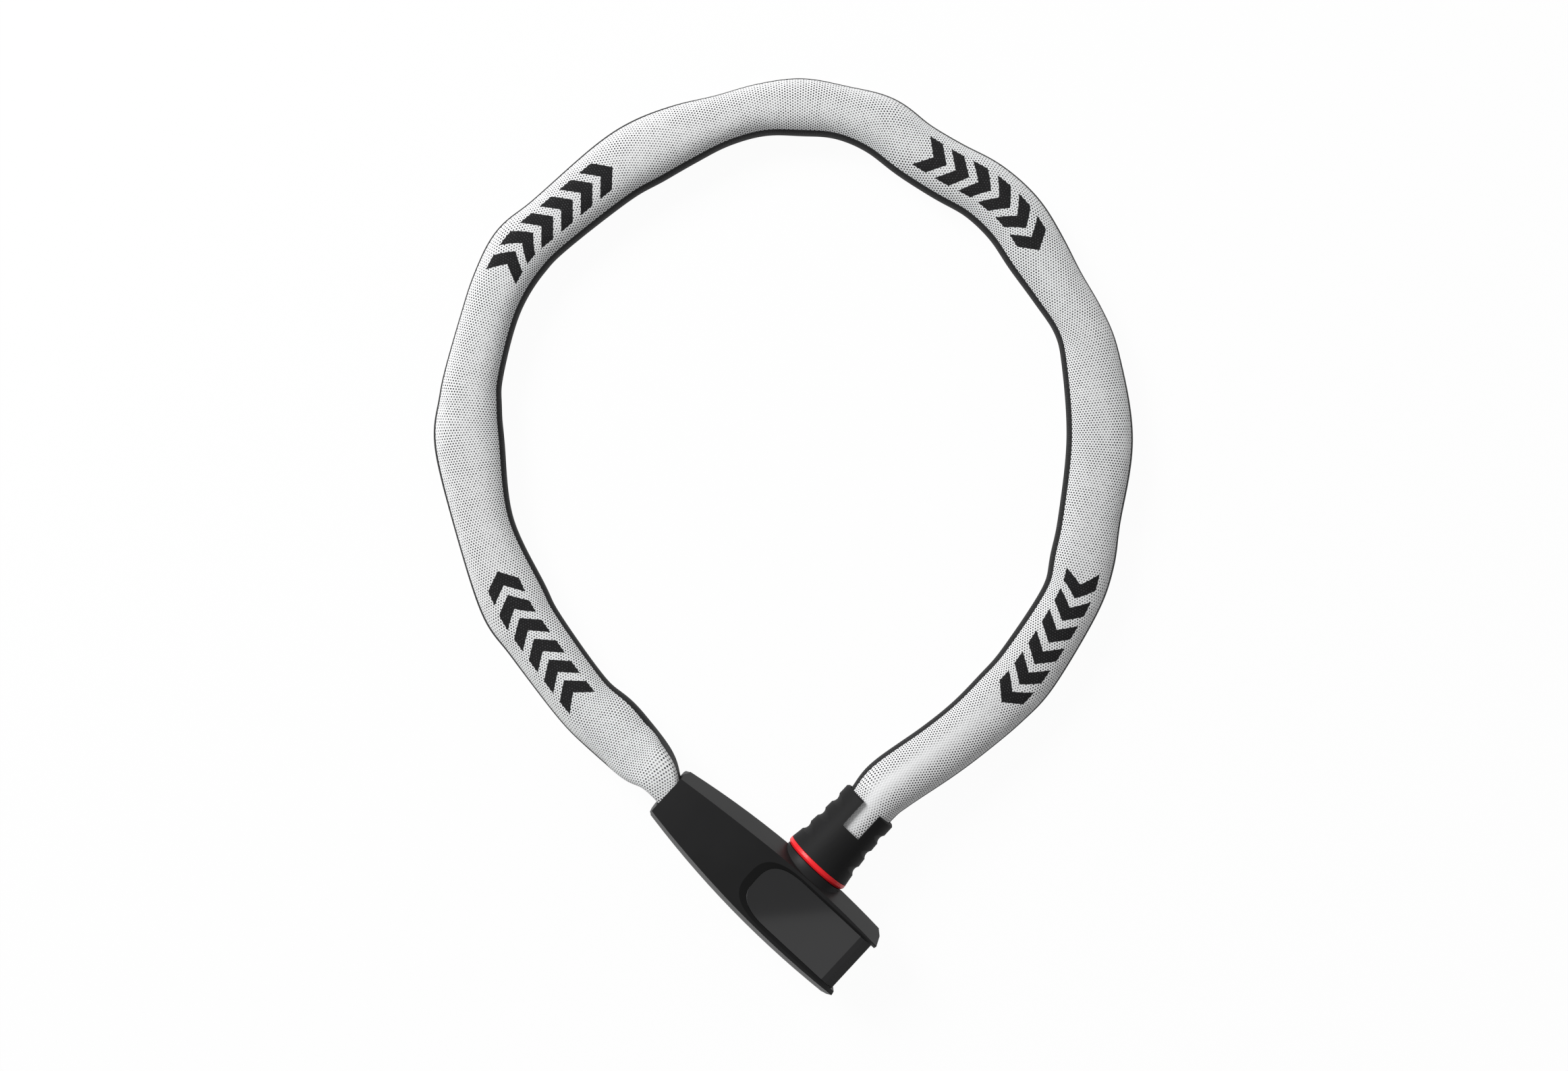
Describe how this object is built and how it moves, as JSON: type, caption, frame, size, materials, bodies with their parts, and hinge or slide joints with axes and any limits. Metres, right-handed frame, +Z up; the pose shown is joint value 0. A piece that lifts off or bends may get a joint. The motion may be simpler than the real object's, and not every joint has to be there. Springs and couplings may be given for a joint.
{
  "type": "bicycle chain lock",
  "caption": "Chain lock: square-link chain in a woven sleeve, joined by a plug that enters the side of a slim keyed lock body.",
  "frame": {"origin": "middle of the outline in plan, on the surface the lock lies on", "axes": "+Z up from that surface, +Y from the lock body to the far end of the loop, +X to the right seen from above"},
  "size_m": [0.2608, 0.3393, 0.0284],
  "materials": {
    "casing": "matt soft-touch over-moulding",
    "cap_gloss": "smooth satin to gloss",
    "housing_steel": "hardened steel, phosphated",
    "bright_steel": "machined, zinc plated",
    "hard_steel": "hardened and ground",
    "chain_steel": "hardened square wire",
    "bush_brass": "turned",
    "cylinder_brass": "turned",
    "wafer_brass": "stamped",
    "ring_red": "smooth, satin gloss",
    "grip_plastic": "fine matt",
    "sleeve_cloth": "woven tube, white with dark flecks and a black side"
  },
  "bodies": {
    "lock_body": {"casing_front": "casing", "casing_back": "casing", "end_cap": "cap_gloss", "lock_housing": "housing_steel", "housing_cover": "bright_steel", "cover_screws": "bright_steel", "socket_bush": "bush_brass", "cylinder_barrel": "cylinder_brass", "barrel_pin": "bright_steel", "anchor_pin": "hard_steel", "sleeve": "sleeve_cloth", "link_01": "chain_steel", "link_02": "chain_steel"},
    "plug": {"plug_pin": "bright_steel", "plug_body": "housing_steel", "plug_cross_pin": "hard_steel", "red_ring": "ring_red", "plug_grip": "grip_plastic", "link_33": "chain_steel", "link_32": "chain_steel"},
    "key_core": {"cylinder_core": "cylinder_brass", "wafers": "wafer_brass", "wafer_springs": "bright_steel", "cam": "bright_steel"},
    "latch_plate": {"latch": "hard_steel"},
    "link_03": {"link_03": "chain_steel", "link_04": "chain_steel", "link_05": "chain_steel"},
    "link_06": {"link_06": "chain_steel", "link_07": "chain_steel", "link_08": "chain_steel"},
    "link_09": {"link_09": "chain_steel", "link_10": "chain_steel", "link_11": "chain_steel"},
    "link_12": {"link_12": "chain_steel", "link_13": "chain_steel", "link_14": "chain_steel"},
    "link_15": {"link_15": "chain_steel", "link_16": "chain_steel"},
    "link_31": {"link_31": "chain_steel", "link_30": "chain_steel", "link_29": "chain_steel"},
    "link_28": {"link_28": "chain_steel", "link_27": "chain_steel", "link_26": "chain_steel"},
    "link_25": {"link_25": "chain_steel", "link_24": "chain_steel", "link_23": "chain_steel"},
    "link_22": {"link_22": "chain_steel", "link_21": "chain_steel", "link_20": "chain_steel"},
    "link_19": {"link_19": "chain_steel", "link_18": "chain_steel", "link_17": "chain_steel"}
  },
  "joints": [
    {"name": "plug_slide", "type": "slide", "parent": "lock_body", "child": "plug", "axis": [0.6794, 0.7337, 0], "range_m": [0, 0.0275], "deforming": ["sleeve"]},
    {"name": "key_turn", "type": "hinge", "parent": "lock_body", "child": "key_core", "pos_m": [0.0152, -0.14889, 0.0142], "axis": [0.7337, -0.6794, 0], "range_deg": [0, 90]},
    {"name": "latch_rise", "type": "slide", "parent": "lock_body", "child": "latch_plate", "axis": [0, 0, 1], "range_m": [0, 0.0029]},
    {"name": "pivot_02", "type": "hinge", "parent": "lock_body", "child": "link_03", "pos_m": [-0.06337, -0.07189, 0.01081], "axis": [0, 0, 1], "range_deg": [-25.6, 28.4]},
    {"name": "pivot_05", "type": "hinge", "parent": "link_03", "child": "link_06", "pos_m": [-0.10315, -0.01888, 0.00832], "axis": [0, 0, 1], "range_deg": [-18.3, 35.7]},
    {"name": "pivot_08", "type": "hinge", "parent": "link_06", "child": "link_09", "pos_m": [-0.11778, 0.04588, 0.0081], "axis": [0, 0, 1], "range_deg": [-9.7, 44.3]},
    {"name": "pivot_11", "type": "hinge", "parent": "link_09", "child": "link_12", "pos_m": [-0.09546, 0.10807, 0.0081], "axis": [0, 0, 1], "range_deg": [-8.3, 45.7]},
    {"name": "pivot_14", "type": "hinge", "parent": "link_12", "child": "link_15", "pos_m": [-0.04149, 0.14706, 0.0081], "axis": [0, 0, 1], "range_deg": [-18.9, 35.1]},
    {"name": "pivot_31", "type": "hinge", "parent": "plug", "child": "link_31", "pos_m": [0.04999, -0.08613, 0.01311], "axis": [0, 0, 1], "range_deg": [-22.7, 31.3]},
    {"name": "pivot_28", "type": "hinge", "parent": "link_31", "child": "link_28", "pos_m": [0.09802, -0.04067, 0.00866], "axis": [0, 0, 1], "range_deg": [-34.4, 19.6]},
    {"name": "pivot_25", "type": "hinge", "parent": "link_28", "child": "link_25", "pos_m": [0.11741, 0.02241, 0.0081], "axis": [0, 0, 1], "range_deg": [-34.4, 19.6]},
    {"name": "pivot_22", "type": "hinge", "parent": "link_25", "child": "link_22", "pos_m": [0.10594, 0.08698, 0.0081], "axis": [0, 0, 1], "range_deg": [-35.6, 18.4]},
    {"name": "pivot_19", "type": "hinge", "parent": "link_22", "child": "link_19", "pos_m": [0.06183, 0.13531, 0.0081], "axis": [0, 0, 1], "range_deg": [-25.2, 28.8]}
  ],
  "couplings": [
    {"joint": "latch_rise", "follows": "key_turn", "m_per_rad": 0.0018006},
    {"joint": "pivot_02", "follows": "plug_slide", "rad_per_m": -0.4663},
    {"joint": "pivot_05", "follows": "plug_slide", "rad_per_m": 0.31717},
    {"joint": "pivot_08", "follows": "plug_slide", "rad_per_m": 0.99436},
    {"joint": "pivot_11", "follows": "plug_slide", "rad_per_m": 1.3449},
    {"joint": "pivot_14", "follows": "plug_slide", "rad_per_m": 1.235},
    {"joint": "pivot_31", "follows": "plug_slide", "rad_per_m": 1.5232},
    {"joint": "pivot_28", "follows": "plug_slide", "rad_per_m": 1.5285},
    {"joint": "pivot_25", "follows": "plug_slide", "rad_per_m": 1.1462},
    {"joint": "pivot_22", "follows": "plug_slide", "rad_per_m": 0.49665},
    {"joint": "pivot_19", "follows": "plug_slide", "rad_per_m": -0.28231}
  ]
}
